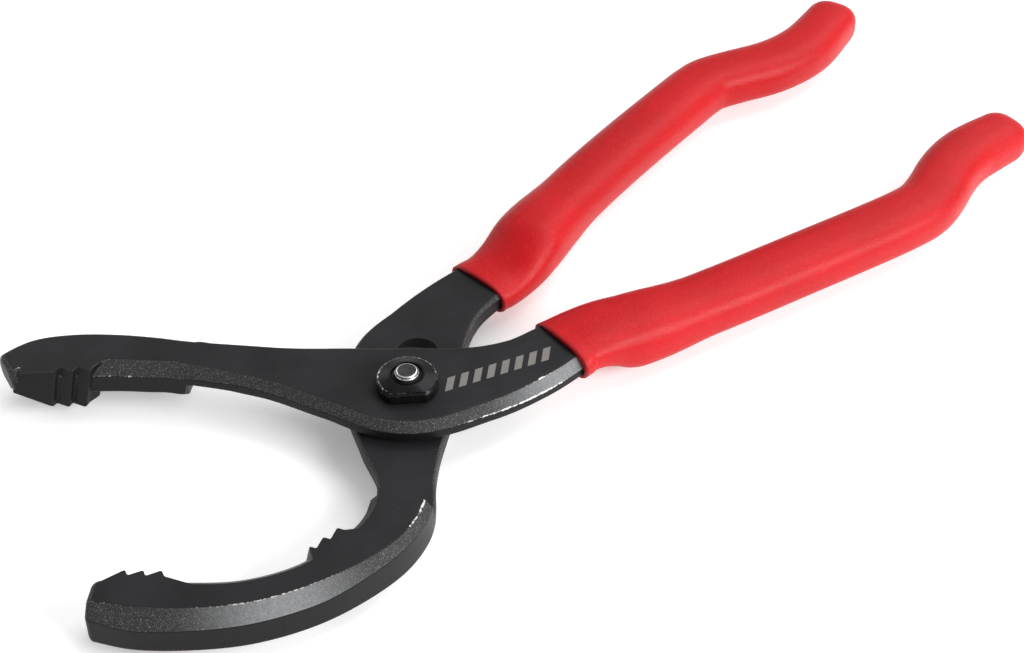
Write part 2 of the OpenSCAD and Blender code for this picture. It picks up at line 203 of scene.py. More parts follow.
def lever_levels(start, reach, plate_low, plate_high):
    """The underside and the top of a lever as functions of x, in the plate and in the tang."""
    tang_low = MID - TANG_THICK / 2
    tang_high = MID + TANG_THICK / 2
    return (lambda x: jogged(x, start, reach, plate_low, tang_low),
            lambda x: jogged(x, start, reach, plate_high, tang_high))


# A cross-section has eight corners. Each becomes ARC points with a support point on either side,
# and NEAR_EDGE says how near each of these is to the edge. The limits are shares of the half
# width, of the thickness and of a side.
SIDES = 8
ARC = 5
NEAR_EDGE = [0, 0.3, 0.75, 1, 0.75, 0.3, 0]
SLOPE_LIMIT = 0.6
FALL_LIMIT = 0.42
UNDER_LIMIT = 0.45
CORNER_RADIUS = 0.42
CORNER_LIMIT = 0.35
SUPPORT_REACH = 1.35


def sections(line, low, high, grow=0.0):
    """The eight corners of each cross-section as (sideways, height): the half width less the top
    slope at the top level, the half width lower down by BEVEL_FALL of it, and the same below."""
    half = line[:, 2] + grow
    left = np.minimum(line[:, 3], half * SLOPE_LIMIT)
    right = np.minimum(line[:, 4], half * SLOPE_LIMIT)
    under_left, under_right = line[:, 5], line[:, 6]
    most = (high - low) * FALL_LIMIT
    top, bottom = high + grow, low - grow
    corners = [
        (-half, bottom + np.minimum(under_right * BEVEL_FALL, most)),
        (-half, top - np.minimum(right * BEVEL_FALL, most)),
        (-half + right, top),
        (half - left, top),
        (half, top - np.minimum(left * BEVEL_FALL, most)),
        (half, bottom + np.minimum(under_left * BEVEL_FALL, most)),
        (half - under_left, bottom),
        (-half + under_right, bottom),
    ]
    return np.stack([np.stack(c, axis=1) for c in corners], axis=1)


def rounded(corners):
    """Each corner becomes a quadratic curve, whose control points are the place at the radius
    before it, the corner and the place after it. A support point stands on either side."""
    before = towards(corners, np.roll(corners, 1, axis=1), CORNER_RADIUS, CORNER_LIMIT)
    after = towards(corners, np.roll(corners, -1, axis=1), CORNER_RADIUS, CORNER_LIMIT)
    curve = quadratic(corners + before, corners, corners + after, ARC)
    support_before = (corners + before * SUPPORT_REACH)[:, :, None]
    support_after = (corners + after * SUPPORT_REACH)[:, :, None]
    full = np.concatenate([support_before, curve, support_after], axis=2)
    return full.reshape(len(corners), -1, 2)


def place(section, line, along):
    """Section points into space: the centre plus the sideways part across the heading."""
    side = np.stack([-along[:, 1], along[:, 0]], axis=1)
    plan = line[:, None, :2] + side[:, None] * section[:, :, :1]
    return np.concatenate([plan, section[:, :, 1:]], axis=2)


def grid_faces(rows, columns):
    """Quads between neighbouring rings of a closed grid."""
    i, k = np.meshgrid(np.arange(rows - 1), np.arange(columns), indexing="ij")
    a = i * columns + k
    b = i * columns + (k + 1) % columns
    return np.stack([a, b, b + columns, a + columns], axis=-1).reshape(-1, 4)


def turned_inside_out(points, faces):
    """True where the signed volume, a sixth of the sum of p0 . (p1 x p2) over the faces cut into
    triangles, is negative."""
    cut = [(f[0], f[i], f[i + 1]) for f in faces for i in range(1, len(f) - 1)]
    a, b, c = (points[np.array(cut)[:, i]] for i in range(3))
    return float((a * np.cross(b, c)).sum()) < 0


def add_mark(mesh, name, domain, values):
    """A named number on every point, face or face corner of a mesh."""
    attribute = mesh.attributes.new(name, "FLOAT", domain)
    attribute.data.foreach_set("value", values.astype(np.float32))


def grid_mesh(name, rings, attributes=None, close="fan"):
    """A mesh from a closed grid of rings in millimetres. Each end is closed by a fan to its
    middle, or by one flat face, or the last ring joins the first. Attributes are one number per
    grid point."""
    rows, columns, _ = rings.shape
    points = rings.reshape(-1, 3)
    faces = [tuple(f) for f in grid_faces(rows, columns).tolist()]
    extra = []
    first = np.arange(columns)
    last = first + (rows - 1) * columns
    if close == "flat":
        faces += [tuple(first[::-1].tolist()), tuple(last.tolist())]
    elif close == "loop":
        joined = np.stack([last, np.roll(last, -1), np.roll(first, -1), first], axis=1)
        faces += [tuple(f) for f in joined.tolist()]
    else:
        for ring in (first[::-1], last):
            middle = len(points) + len(extra)
            extra.append(points[ring].mean(axis=0))
            faces += [(a, b, middle) for a, b in zip(ring.tolist(), np.roll(ring, -1).tolist())]
        points = np.vstack([points, extra])
    if turned_inside_out(points, faces):
        faces = [f[::-1] for f in faces]
    mesh = bpy.data.meshes.new(name)
    mesh.from_pydata((points * SCALE).tolist(), [], faces)
    for key, values in (attributes or {}).items():
        full = np.zeros(len(points))
        full[: values.size] = values.reshape(-1)
        add_mark(mesh, key, "POINT", full)
    mesh.update()
    return mesh


def add_object(data):
    """A new object at the origin for a mesh, a light or a camera, under the same name."""
    made = bpy.data.objects.new(data.name, data)
    bpy.context.scene.collection.objects.link(made)
    return made


def shade_by_angle(mesh, degrees):
    """Smooth faces, with an edge left sharp where its two faces turn by more than the angle."""
    mesh.polygons.foreach_set("use_smooth", np.ones(len(mesh.polygons), bool))
    mesh.set_sharp_from_angle(angle=math.radians(degrees))


# -------------------- levers
TIP_ANGLES = [90, 78, 62, 46, 30, 15]
TIP_SQUASH = 0.8

# The shoulder's profile in shares of its fall and its run
BROW_FALL = 0.1
BROW_RUN = 0.45
FOOT_FALL = 0.07
FOOT_RUN = 0.37
STEP_CLEAR = 0.4
BOW_SPREAD = 4.5
LIGHT_RUB = 0.22

# Rubbed stretches of the long edges: corner of the section, place along X, spread, strength
UPPER_RUBBED = [
    (1, 24, 18, 0.5), (2, 26, 10, 0.3), (2, -62, 6, 0.4), (2, -48, 5, 0.2), (1, -45, 8, 0.35),
]
LOWER_RUBBED = [
    (2, -62, 13, 0.6), (2, -40, 12, 0.3), (2, -26, 2.5, 0.2), (1, 34, 9, 0.2), (2, -93, 3, 0.25),
]


def tip_rings(line, along, low, high):
    """Rings that round off the tip: each is the first section moved outwards by w sin(a), drawn
    in by w (1 - cos(a)) at the sides and by TIP_SQUASH of that above and below, where w is
    TIP_BEVEL and a runs through TIP_ANGLES."""
    angles = np.radians(TIP_ANGLES)
    out = TIP_BEVEL * np.sin(angles)
    shrink = TIP_BEVEL * (1 - np.cos(angles))
    rows = np.repeat(line[:1], len(angles), axis=0)
    rows[:, :2] = line[0, :2] - along[0] * out[:, None]
    rows[:, 2] -= shrink
    heads = np.repeat(along[:1], len(angles), axis=0)
    return rows, heads, low[0] + shrink * TIP_SQUASH, high[0] - shrink * TIP_SQUASH


def shoulder_profile():
    """Shares of the fall and of the run: a quarter ellipse for the brow, a straight slope, and a
    quarter ellipse for the foot."""
    brow = np.radians([0, 22, 45, 68, 90])
    foot = np.radians([90, 60, 30, 0])
    fall = np.concatenate([BROW_FALL * (1 - np.cos(brow)), 1 - FOOT_FALL * np.sin(foot)])
    run = np.concatenate([BROW_RUN * np.sin(brow), 1 - FOOT_RUN * (1 - np.cos(foot))])
    return fall, run


def rub_marks(x, wear_and_highlight):
    """The edge mark of every grid point: nearness to the edge times its rub, which is LIGHT_RUB
    plus strength exp(-((x - place) / spread)^2) for each rubbed stretch of that corner."""
    rub = np.full((len(x), SIDES), LIGHT_RUB)
    for corner, at, spread, strength in wear_and_highlight:
        rub[:, corner] += strength * np.exp(-(((x - at) / spread) ** 2))
    return np.tile(NEAR_EDGE, SIDES) * np.repeat(np.minimum(rub, 1), len(NEAR_EDGE), axis=1)


def lever_mesh(name, line, jaw_levels, levels, run, bow, neck_slope, wear_and_highlight):
    """A lever as one grid: the jaw at full thickness up to the shoulder, then the thin plate and
    the tang. The shoulder falls by a rounded step, and its edge bows by bow times the square of
    the sideways share, so its outer corner lies farther back."""
    along = directions(line)
    shoulder = len(jaw_levels[0]) - 1
    corner = line[shoulder, :2]
    fall, ahead = shoulder_profile()
    step_rows = np.repeat(line[shoulder : shoulder + 1], len(fall), axis=0)
    step_rows[:, :2] += along[shoulder] * (run * ahead)[:, None]
    step_heads = np.repeat(along[shoulder : shoulder + 1], len(fall), axis=0)
    rest = line[shoulder:]
    rest = rest[np.linalg.norm(rest[:, :2] - corner, axis=1) > run + STEP_CLEAR]
    neck = slice(0, 2 * STEPS)
    rest[neck, 3:5] = np.minimum(rest[neck, 3:5], neck_slope)
    rest[:, 5:] = np.minimum(rest[:, 5:], UNDER_BEVEL)
    step_rows[:, 3:] += (rest[0, 3:] - line[shoulder, 3:]) * fall[:, None]
    tip, tip_heads, *tip_levels = tip_rings(line, along, *jaw_levels)
    rows = np.vstack([tip, line[:shoulder], step_rows, rest])
    heads = np.vstack([tip_heads, along[:shoulder], step_heads, along[len(line) - len(rest) :]])
    whole = []
    for tip_level, jaw_level, level_of in zip(tip_levels, jaw_levels, levels):
        rest_level = level_of(rest[:, 0])
        step_level = jaw_level[-1] + (rest_level[0] - jaw_level[-1]) * fall
        whole.append(np.concatenate([tip_level, jaw_level[:-1], step_level, rest_level]))
    lows, highs = whole
    rows[:, 5:] = np.minimum(rows[:, 5:], (highs - lows)[:, None] * UNDER_LIMIT)
    section = rounded(sections(rows, lows, highs))
    rings = place(section, rows, heads)
    distance = np.linalg.norm(rows[:, :2] - corner, axis=1)[:, None]
    share = section[:, :, 0] / rows[:, 2:3]
    shift = -bow * share**2 * np.exp(-((distance / BOW_SPREAD) ** 2))
    rings[:, :, :2] += heads[:, None] * shift[:, :, None]
    return grid_mesh(name, rings, {"edge": rub_marks(rows[:, 0], wear_and_highlight)})


# -------------------- teeth
# Crests and roots are shares of the pitch; the worn values belong to the edge mark
TOOTH_PITCH = 4.2
TOOTH_DEPTH = 1.7
TEETH = 3
CREST_AT = 0.12
ROOT_AT = 0.95
FIRST_FOOT = -0.2
TOOTH_LEAN = math.radians(12)
TOOTH_DRAFT = math.radians(6)
PAD_DEPTH = 5.0
PAD_DROP = 2.3
EDGE_BREAK = 0.14
EDGE_HOLD = 0.5
OUTLINE_RADIUS = 0.6
OUTLINE_LIMIT = 0.42
OUTLINE_ARC = 4
CREST_WORN_FROM = 1.1
CREST_WORN_OVER = 0.5
RIM_WORN = 0.9


def tooth_outline(side, lead, tail, end_drop):
    """The saw outline of a tooth pad: for each tooth k a crest at (k + CREST_AT) pitches and a
    root at (k + ROOT_AT) pitches, with a slope back into the jaw at each end. Every corner is
    cut to a quadratic curve."""
    last = TEETH - 1
    points = [(-lead, -PAD_DEPTH), (-lead, -PAD_DROP), (FIRST_FOOT, 0.0)]
    for k in range(TEETH):
        points.append(((k + CREST_AT) * TOOTH_PITCH, TOOTH_DEPTH))
        if k < last:
            points.append(((k + ROOT_AT) * TOOTH_PITCH, 0.0))
    end = last * TOOTH_PITCH + tail
    points += [(end, -end_drop), (end, -PAD_DEPTH)]
    p = np.array(points) * [1, side]
    before = towards(p, np.roll(p, 1, axis=0), OUTLINE_RADIUS, OUTLINE_LIMIT)
    after = towards(p, np.roll(p, -1, axis=0), OUTLINE_RADIUS, OUTLINE_LIMIT)
    return quadratic(p + before, p, p + after, OUTLINE_ARC).reshape(-1, 2)


def turned_plan(u, v, angle):
    """Plan coordinates turned about the origin by an angle in degrees."""
    c = math.cos(math.radians(angle))
    s = math.sin(math.radians(angle))
    return u * c - v * s, u * s + v * c


def tooth_pad(name, spot, turn, side, lead, tail, end_drop=PAD_DROP, end_lift=0.0):
    """The outline drawn down through the jaw: each layer slides along and outwards by the height
    times the tangents of the lean and the draft, and the top and bottom layers draw in a little.
    The underside rises evenly from the last tooth to end_lift at the far end."""
    outline = tooth_outline(side, lead, tail, end_drop)
    middle = outline.mean(axis=0)
    inwards = (middle - outline) / np.linalg.norm(middle - outline, axis=1)[:, None]
    upper_layers = [0, EDGE_BREAK, EDGE_HOLD]
    heights = np.array([*upper_layers, 0.5 * DEPTH, *(DEPTH - h for h in upper_layers[::-1])])
    draw_in = np.where((heights == 0) | (heights == DEPTH), EDGE_BREAK, 0)
    layers = outline[None] + inwards[None] * draw_in[:, None, None]
    layers[:, :, 0] += heights[:, None] * math.tan(TOOTH_LEAN)
    layers[:, :, 1] += side * heights[:, None] * math.tan(TOOTH_DRAFT)
    x, y = turned_plan(layers[:, :, 0], layers[:, :, 1], turn)
    past_crest = np.clip((outline[:, 0] - (TEETH - 1) * TOOTH_PITCH) / tail, 0, 1)
    z = UPPER_HIGH - heights[:, None] * (1 - past_crest * end_lift / DEPTH)[None]
    crest = np.clip((outline[:, 1] * side - CREST_WORN_FROM) / CREST_WORN_OVER, 0, 1)
    rim = np.where(draw_in > 0, RIM_WORN, 0)
    rings = np.stack([spot[0] + x, spot[1] + y, z], axis=2)
    return grid_mesh(name, rings, {"edge": np.maximum(crest[None], rim[:, None])}, "flat")


# -------------------- joining and cutting
CUT_PAST = 1
LOBE_POINTS = 40
CHANNEL_POINTS = 30


def slot_cutter(name, lobes, channel, low, high):
    """A prism round the slot: circles on the slot line, joined by a channel. Its half width at a
    place is the larger of the channel's and the nearest circle's, and for one lobe alone it is
    the smaller, which makes a round hole with two flats."""
    r = (BOLT_DIAMETER + BOLT_CLEARANCE) / 2
    length = (lobes - 1) * LOBE_PITCH
    circle_places = -np.cos(np.linspace(0, math.pi, LOBE_POINTS)) * r
    centres = np.arange(lobes) * LOBE_PITCH
    u = np.concatenate([*(circle_places + c for c in centres), np.linspace(0, length, CHANNEL_POINTS)])
    u = np.unique(np.round(u, 5))
    gaps = np.abs(u[:, None] - centres[None]).min(axis=1)
    circle = np.sqrt(np.maximum(r * r - gaps**2, 0))
    half = np.where((u > 0) & (u < length), np.maximum(circle, channel / 2), circle)
    if lobes == 1:
        half = np.minimum(circle, channel / 2)
    outline = np.concatenate([np.stack([u, half], 1), np.stack([u, -half], 1)[::-1][1:-1]])
    plan = turned_plan(outline[:, 0], outline[:, 1], SLOT_ANGLE)
    rings = np.stack([np.column_stack([*plan, np.full(len(outline), z)]) for z in (low, high)])
    return grid_mesh(name, rings, close="flat")


def combine(body, steps):
    """Joins or cuts with each (mesh, way) in turn and gives back the finished mesh."""
    base = add_object(body)
    tools = []
    for mesh, way in steps:
        tool = add_object(mesh)
        tools.append(tool)
        change = base.modifiers.new(way, "BOOLEAN")
        change.operation = way
        change.object = tool
        change.solver = "EXACT"
    scene_graph = bpy.context.evaluated_depsgraph_get()
    done = bpy.data.meshes.new_from_object(base.evaluated_get(scene_graph))
    name = body.name
    for spent in [base, *tools]:
        bpy.data.meshes.remove(spent.data)
    done.name = name
    mark_sides(done)
    return done


WALL_BELOW = 0.35
FLAT_ABOVE = 0.95
UNMARKED_ABOVE = 0.999


def values_of(items, key, width=1, kind=np.float32):
    """The values of every item of a mesh, width of them each, as one flat array."""
    values = np.zeros(len(items) * width, kind)
    items.foreach_get(key, values)
    return values


def mark_sides(mesh):
    """Marks each face by the height part of its normal: a wall up to WALL_BELOW, and a forged
    slope between that and FLAT_ABOVE. The edge mark moves from the points to the face corners,
    and faces above UNMARKED_ABOVE, which are level, lose it."""
    rise = np.abs(values_of(mesh.polygons, "normal", 3)[2::3])
    sizes = values_of(mesh.polygons, "loop_total", kind=np.int32)
    corners = values_of(mesh.loops, "vertex_index", kind=np.int32)
    edge = values_of(mesh.attributes["edge"].data, "value")
    mesh.attributes.remove(mesh.attributes["edge"])
    level_corner = np.repeat(rise > UNMARKED_ABOVE, sizes)
    add_mark(mesh, "forged", "FACE", (rise > WALL_BELOW) & (rise < FLAT_ABOVE))
    add_mark(mesh, "wall", "FACE", rise <= WALL_BELOW)
    add_mark(mesh, "edge", "CORNER", np.where(level_corner, 0, edge[corners]))


upper_line = lever_line(UPPER_JAW, UPPER_BOSS, UPPER_HANDLE, GRIP_START_UPPER, UPPER_REACH,
                        (UNDER_BEVEL, INNER_UNDER))
lower_line = lever_line(LOWER_JAW, LOWER_BOSS, LOWER_HANDLE, GRIP_START_LOWER, LOWER_REACH,
                        (INNER_UNDER, UNDER_BEVEL))
upper_levels = lever_levels(GRIP_START_UPPER, UPPER_REACH, LAP_HIGH, UPPER_HIGH)
lower_levels = lever_levels(GRIP_START_LOWER, LOWER_REACH, LOWER_LOW, LAP_LOW)


def forged_upper_lever():
    """The upper lever with its tooth pad and the bolt's bore. The jaw's underside rises towards
    the tip by TIP_LIFT (1 - s)^2, where s is the share of the jaw line's first two spans."""
    rows = (len(UPPER_JAW) - 1) * STEPS + 1
    rise = TIP_LIFT * np.maximum(0, 1 - np.arange(rows) / (2 * STEPS)) ** 2
    jaw_levels = (LOWER_LOW + rise, np.full(rows, UPPER_HIGH))
    body = lever_mesh("forged_upper_lever", upper_line, jaw_levels, upper_levels,
                      run=4.2, bow=0, neck_slope=9, wear_and_highlight=UPPER_RUBBED)
    pad = tooth_pad("upper_teeth", (-51.7, 59.0), turn=138, side=1, lead=2.4, tail=9.4,
                    end_drop=-2.2, end_lift=6.0)
    bore = slot_cutter("upper_bore", 1, BOLT_FLATS + BOLT_CLEARANCE,
                       LAP_HIGH - CUT_PAST, UPPER_HIGH + CUT_PAST)
    return combine(body, [(pad, "UNION"), (bore, "DIFFERENCE")])


def forged_lower_lever():
    """The lower lever with its two tooth pads and the slip slot."""
    rows = (len(LOWER_JAW) - 1) * STEPS + 1
    jaw_levels = (np.full(rows, LOWER_LOW), np.full(rows, UPPER_HIGH))
    body = lever_mesh("forged_lower_lever", lower_line, jaw_levels, lower_levels,
                      run=1.2, bow=1.6, neck_slope=0.6, wear_and_highlight=LOWER_RUBBED)
    tip_pad = tooth_pad("tip_teeth", (-79.7, -8.4), turn=135, side=-1, lead=7, tail=6)
    heel_pad = tooth_pad("heel_teeth", (-41.8, -25.6), turn=180, side=-1, lead=3.5, tail=2.6)
    slot = slot_cutter("lower_slot", 3, BOLT_FLATS + 2 * BOLT_CLEARANCE,
                       LOWER_LOW - CUT_PAST, LAP_LOW + CUT_PAST)
    return combine(body, [(tip_pad, "UNION"), (heel_pad, "UNION"), (slot, "DIFFERENCE")])


# -------------------- grips
GRIP_SIDES = 64
GRIP_POWER = 2.7
BUILD_UP = 0.7
DOME_ANGLES = np.radians(np.linspace(0, 88, 26)[1:])
DOME_POWER = 0.55
HUG = 0.03
# Rings of the lip: share of the way in from the skin to the steel, and millimetres out of the sleeve
LIP_RINGS = ((0.04, 0.25), (0.18, 0.45), (0.45, 0.5), (0.75, 0.38), (0.95, 0.12))
LIP_FADE = 5.0


def superellipse():
    """The unit curve |u|^n + |w|^n = 1, where n is GRIP_POWER, at equal steps of angle."""
    a = np.radians(-180 + 360 * (np.arange(GRIP_SIDES) + 0.5) / GRIP_SIDES)
    e = 2 / GRIP_POWER
    u = np.sign(np.cos(a)) * np.abs(np.cos(a)) ** e
    w = -np.sign(np.sin(a)) * np.abs(np.sin(a)) ** e
    return u, w


def grip_hollow(rows, along, lows, highs):
    """The inside skin: the tang's own section, grown by HUG, with every side cut into equal steps
    so that a ring has as many points as one of the outside."""
    corners = sections(rows, lows, highs, HUG)
    per_side = GRIP_SIDES // SIDES
    share = (np.arange(per_side) / per_side)[:, None]
    cut = corners[:, :, None] * (1 - share) + np.roll(corners, -1, axis=1)[:, :, None] * share
    return place(cut.reshape(len(rows), GRIP_SIDES, 2), rows, along)


def grip_mesh(name, line, first, levels, reach):
    """The dipped sleeve: superellipse sections |u/a|^n + |z/b|^n = 1 along the tang, thicker by
    BUILD_UP sin^2 near the front, a domed end whose radius falls as the cosine to the power of
    DOME_POWER, a rolled lip and the inside skin."""
    span = line[first:]
    along = directions(line)[first:]
    lows, highs = (level_of(span[:, 0]) for level_of in levels)
    start = span[0, 0]
    t = np.clip((span[:, 0] - start) / (2 * JOG_END * (reach - start)), 0, 1)
    wall = GRIP_WALL * (1 + BUILD_UP * np.sin(np.pi * t) ** 2)
    dome_length = (reach - span[-1, 0]) / along[-1, 0]
    dome_rows = np.repeat(span[-1:], len(DOME_ANGLES), axis=0)
    dome_rows[:, :2] += along[-1] * (dome_length * np.sin(DOME_ANGLES))[:, None]
    fall = np.cos(DOME_ANGLES) ** DOME_POWER
    middle = (lows + highs) / 2
    middle = np.concatenate([middle, np.full(len(fall), middle[-1])])
    tang_rise = (highs - lows) / 2
    half = np.concatenate([span[:, 2] + wall, (span[-1, 2] + GRIP_WALL) * fall])
    rise = np.concatenate([tang_rise + wall, (tang_rise[-1] + GRIP_WALL) * fall])
    rows = np.vstack([span, dome_rows])
    heads = np.vstack([along, np.repeat(along[-1:], len(fall), axis=0)])
    u, w = superellipse()
    section = np.stack([half[:, None] * u, middle[:, None] + rise[:, None] * w], axis=2)
    outer = place(section, rows, heads)
    front = slice(0, STEPS)
    hollow = grip_hollow(span[front], along[front], lows[front], highs[front])[::-1]
    heading = np.array([*along[0], 0])
    lip = [outer[0] + (hollow[-1] - outer[0]) * share - heading * out
           for share, out in LIP_RINGS[::-1]]
    rings = np.concatenate([hollow, lip, outer])
    # The lip mark carries painted shade: full inside and on the lip, fading along the sleeve away from
    # the steel
    fade = np.exp(-np.arange(len(outer)) / LIP_FADE)
    lip_shade_mark = np.concatenate([np.ones(len(hollow) + len(lip)), fade])
    return grid_mesh(name, rings, {"lip": np.repeat(lip_shade_mark[:, None], GRIP_SIDES, axis=1)})


# -------------------- turned parts
# A profile point is (radius, height, reach of the flat, rounded, worn); the limits and the
# support are shares of a side and of the rounding
TURN_SIDES = 144
TURNED_LIMIT = 0.4
TURNED_SUPPORT = 1.4
TURNED_ARC = 4
SMALL_ROUNDING = 0.2
NUT_ROUNDING = 0.22
NUT_TURN = SLOT_ANGLE - 170
BOLT_TURN = SLOT_ANGLE + 90


def bevelled(points, reach):
    """An open profile whose corners marked True become quadratic curves, with a support point on
    either side. Returns the profile and the edge mark of each of its points."""
    profile = []
    worn = []
    for i, (r, z, flat, soft, mark) in enumerate(points):
        if not soft:
            profile.append((r, z, flat))
            worn.append(mark)
            continue
        here = np.array([r, z])
        before = towards(here, np.array(points[i - 1][:2]), reach, TURNED_LIMIT)
        after = towards(here, np.array(points[i + 1][:2]), reach, TURNED_LIMIT)
        curve = quadratic(here + before, here, here + after, TURNED_ARC)
        places = [here + before * TURNED_SUPPORT, *curve, here + after * TURNED_SUPPORT]
        profile += [(*p, flat) for p in places]
        worn += [0, *([mark] * TURNED_ARC), 0]
    return profile, worn


def turned(name, points, rounding, close="fan", flats=0, flat_of=1.0, angle=0.0):
    """The profile carried round the axis: where a point has a flat, its radius is the smaller of
    the circle's and the flat's reach over the cosine of the angle from it. One flat looks only
    one way; two look both ways."""
    profile, worn = bevelled(points, rounding)
    p = np.array(profile, float)
    base = math.degrees(math.acos(flat_of))
    corners = [base, 360 - base, 180 - base, 180 + base][: 2 * flats]
    theta = np.arange(TURN_SIDES) * 360 / TURN_SIDES
    theta = np.radians(np.unique(np.concatenate([theta, corners])))
    facing = np.cos(theta) if flats == 1 else np.abs(np.cos(theta))
    flat_radius = p[:, 2:3] / np.maximum(facing, TINY)[None]
    radius = np.where(p[:, 2:3] > 0, np.minimum(p[:, :1], flat_radius), p[:, :1])
    turn = theta + math.radians(angle)
    height = np.repeat(p[:, 1:2], len(theta), axis=1)
    rings = np.stack([radius * np.cos(turn), radius * np.sin(turn), height], axis=2)
    edge = np.repeat(np.array(worn, float)[:, None], len(theta), axis=1)
    return grid_mesh(name, rings, {"edge": edge}, close)


def turned_nut():
    """Outside wall with one flat, broken rim, low crown, sunk ring round the stud and the bore."""
    r = NUT_DIAMETER / 2
    bore = STUD_DIAMETER / 2 + 0.05
    ring = STUD_DIAMETER / 2 + 0.9
    flat = NUT_FLAT_REACH
    floor = NUT_HIGH - 0.8
    points = [
        (bore, NUT_LOW, 0, False, 0),
        (r - 0.3, NUT_LOW, flat - 0.3, False, 0),
        (r, NUT_LOW + 0.3, flat, True, 0),
        (r, NUT_RIM - 0.7, flat, True, 0.6),
        (r - 0.6, NUT_RIM, flat - 0.6, True, 0.8),
        (ring + 0.35, NUT_HIGH, 0, True, 0),
        (ring, NUT_HIGH - 0.3, 0, True, 0),
        (ring - 0.1, floor, 0, True, 0),
        (bore, floor, 0, False, 0),
    ]
    return turned("turned_pivot_nut", points, NUT_ROUNDING, "loop",
                  flats=1, flat_of=flat / r, angle=NUT_TURN)


def turned_bolt():
    """Head, shank with two flats, and the stud end with a broken edge."""
    head = HEAD_RADIUS
    shank = BOLT_DIAMETER / 2
    stud = STUD_DIAMETER / 2
    flat = BOLT_FLATS / 2
    points = [
        (0.6, 0.0, 0, False, 0),
        (head - 1.0, 0.0, 0, True, 0.5),
        (head, 1.0, 0, True, 0.6),
        (head, WASHER_LOW - 0.25, 0, True, 0.3),
        (head - 0.25, WASHER_LOW, 0, False, 0),
        (shank + 0.02, WASHER_LOW, 0, False, 0),
        (shank, WASHER_LOW + 0.01, flat, False, 0),
        (shank, UPPER_HIGH, flat, False, 0),
        (stud, UPPER_HIGH, 0, False, 0),
        (stud, STUD_HIGH - 0.6, 0, True, 0.6),
        (stud - 0.55, STUD_HIGH - 0.03, 0, True, 1),
        (stud - 0.85, STUD_HIGH, 0, True, 0.2),
        (0.5, STUD_HIGH - 0.03, 0, False, 0),
    ]
    return turned("turned_pivot_bolt", points, SMALL_ROUNDING,
                  flats=2, flat_of=flat / shank, angle=BOLT_TURN)


def turned_washer():
    """A flat ring with small rounded edges."""
    inner = BOLT_DIAMETER / 2 + BOLT_CLEARANCE
    outer = WASHER_RADIUS
    points = [
        (inner, WASHER_LOW, 0, False, 0),
        (outer, WASHER_LOW, 0, True, 0.6),
        (outer, WASHER_HIGH, 0, True, 0.8),
        (inner, WASHER_HIGH, 0, False, 0.2),
    ]
    return turned("turned_thrust_washer", points, SMALL_ROUNDING, "loop")


# -------------------- node groups
def new_group(name, inputs, outputs):
    """An empty shader node group with named sockets; kind is Float, Vector or Color."""
    group = bpy.data.node_groups.new(name, "ShaderNodeTree")
    for label, kind, value in inputs:
        socket = group.interface.new_socket(name=label, in_out="INPUT", socket_type=f"NodeSocket{kind}")
        if value is not None:
            socket.default_value = value
    for label, kind in outputs:
        group.interface.new_socket(name=label, in_out="OUTPUT", socket_type=f"NodeSocket{kind}")
    return group, group.nodes.new("NodeGroupInput"), group.nodes.new("NodeGroupOutput")


def wire(tree, made, **wires):
    """Links or sets input sockets of a node. A socket is named by its label with _ for spaces, or
    by i and its number."""
    for key, value in wires.items():
        name = key.replace("_", " ")
        numbered = name[0] == "i" and name[1:].isdigit()
        socket = made.inputs[int(name[1:]) if numbered else name]
        if isinstance(value, bpy.types.NodeSocket):
            tree.links.new(value, socket)
        else:
            socket.default_value = value


def node(tree, kind, settings=None, **wires):
    """A node with its settings made and its input sockets linked or set."""
    made = tree.nodes.new(kind)
    for key, value in (settings or {}).items():
        setattr(made, key, value)
    wire(tree, made, **wires)
    return made


def sums(tree, operation, a, b=0.0, clamp=False):
    """One step of arithmetic, with its result held to 0 and 1 on request."""
    settings = {"operation": operation, "use_clamp": clamp}
    return node(tree, "ShaderNodeMath", settings, i0=a, i1=b).outputs[0]


def times(tree, a, b):
    return sums(tree, "MULTIPLY", a, b)


def plus(tree, a, b):
    return sums(tree, "ADD", a, b)


def noise(tree, vector, scale, detail=3.0, roughness=0.55):
    """Smooth noise about 0.5."""
    return node(tree, "ShaderNodeTexNoise", None, Vector=vector, Scale=scale, Detail=detail,
                Roughness=roughness).outputs["Fac"]


def between(tree, value, low, high):
    """The smooth step from 0 where the value is low to 1 where it is high."""
    settings = {"clamp": True, "interpolation_type": "SMOOTHSTEP"}
    return node(tree, "ShaderNodeMapRange", settings, Value=value, From_Min=low,
                From_Max=high).outputs["Result"]


def mix(tree, factor, a, b):
    """Colour a where the factor is 0 and colour b where it is 1."""
    return node(tree, "ShaderNodeMix", {"data_type": "RGBA"}, i0=factor, i6=a, i7=b).outputs[2]


def worn_edge_group():
    """Bright patches along edges: one where fine noise and slow noise together pass one less the
    edge mark times the amount, rising over a tenth."""
    group, inside, outside = new_group(
        "worn_edge", [("Vector", "Vector", None), ("Edge", "Float", 0.0), ("Amount", "Float", 0.5),
                      ("Breakup", "Float", 700.0)], [("Mask", "Float")])
    patches = noise(group, inside.outputs["Vector"], inside.outputs["Breakup"], 4.0, 0.65)
    long_patches = noise(group, inside.outputs["Vector"], 55.0, 2.0, 0.5)
    spread = plus(group, times(group, patches, 0.65), times(group, long_patches, 0.75))
    reach = times(group, inside.outputs["Edge"], inside.outputs["Amount"])
    limit = sums(group, "SUBTRACT", 1.0, reach)
    lit = sums(group, "DIVIDE", sums(group, "SUBTRACT", spread, limit), 0.10, clamp=True)
    wire(group, outside, Mask=lit)
    return group


